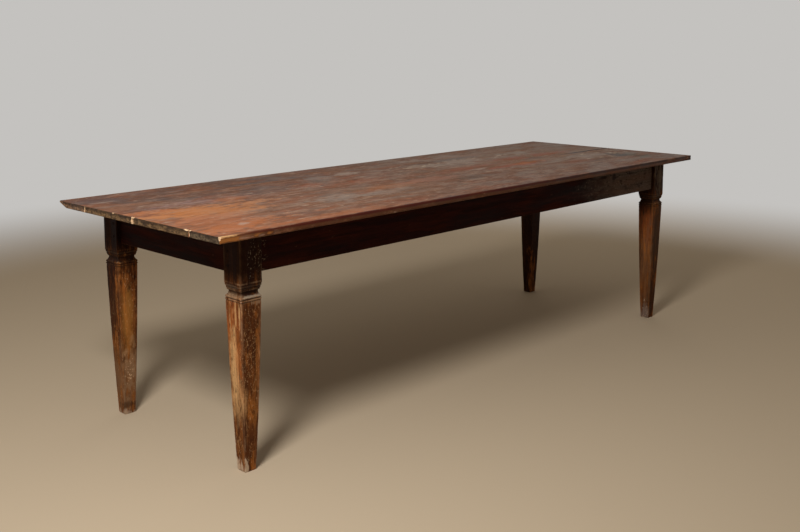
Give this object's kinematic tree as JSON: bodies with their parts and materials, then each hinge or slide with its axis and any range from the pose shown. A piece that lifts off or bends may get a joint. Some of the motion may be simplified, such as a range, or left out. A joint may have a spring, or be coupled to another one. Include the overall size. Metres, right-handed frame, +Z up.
{
  "type": "farmhouse table",
  "caption": "Long rectangular farmhouse dining table with a plank top, plain deep aprons pegged into square posts, and tapered square legs with a moulded neck.",
  "frame": {"origin": "on the floor, under the middle of the top", "axes": "+X along the table's length, +Y across it towards the edge with the bevel underneath, +Z up"},
  "size_m": [2.743, 0.9302, 0.78],
  "materials": {
    "top_wood": "worn red-brown stain and wax",
    "leg_wood": "worn brown stain, rubbed pale on the faces and chipped at the feet",
    "apron_wood": "dark red-brown stain, scuffed",
    "peg_wood": "dark end grain",
    "secondary_wood": "bare, aged",
    "screw_steel": "dull, aged"
  },
  "bodies": {
    "root": {"top_board_back": "top_wood", "top_board_mid_back": "top_wood", "top_board_mid_front": "top_wood", "top_board_front": "top_wood", "joint_tongue_back": "secondary_wood", "joint_tongue_centre": "secondary_wood", "joint_tongue_front": "secondary_wood", "leg_front_left": "leg_wood", "leg_front_right": "leg_wood", "leg_back_left": "leg_wood", "leg_back_right": "leg_wood", "apron_front": "apron_wood", "apron_back": "apron_wood", "apron_left": "apron_wood", "apron_right": "apron_wood", "draw_pegs_long_aprons": "peg_wood", "draw_pegs_end_aprons": "peg_wood", "bearer_1": "secondary_wood", "bearer_2": "secondary_wood", "bearer_3": "secondary_wood", "bearer_screws": "screw_steel", "top_buttons": "secondary_wood", "button_screws": "screw_steel"}
  },
  "joints": []
}
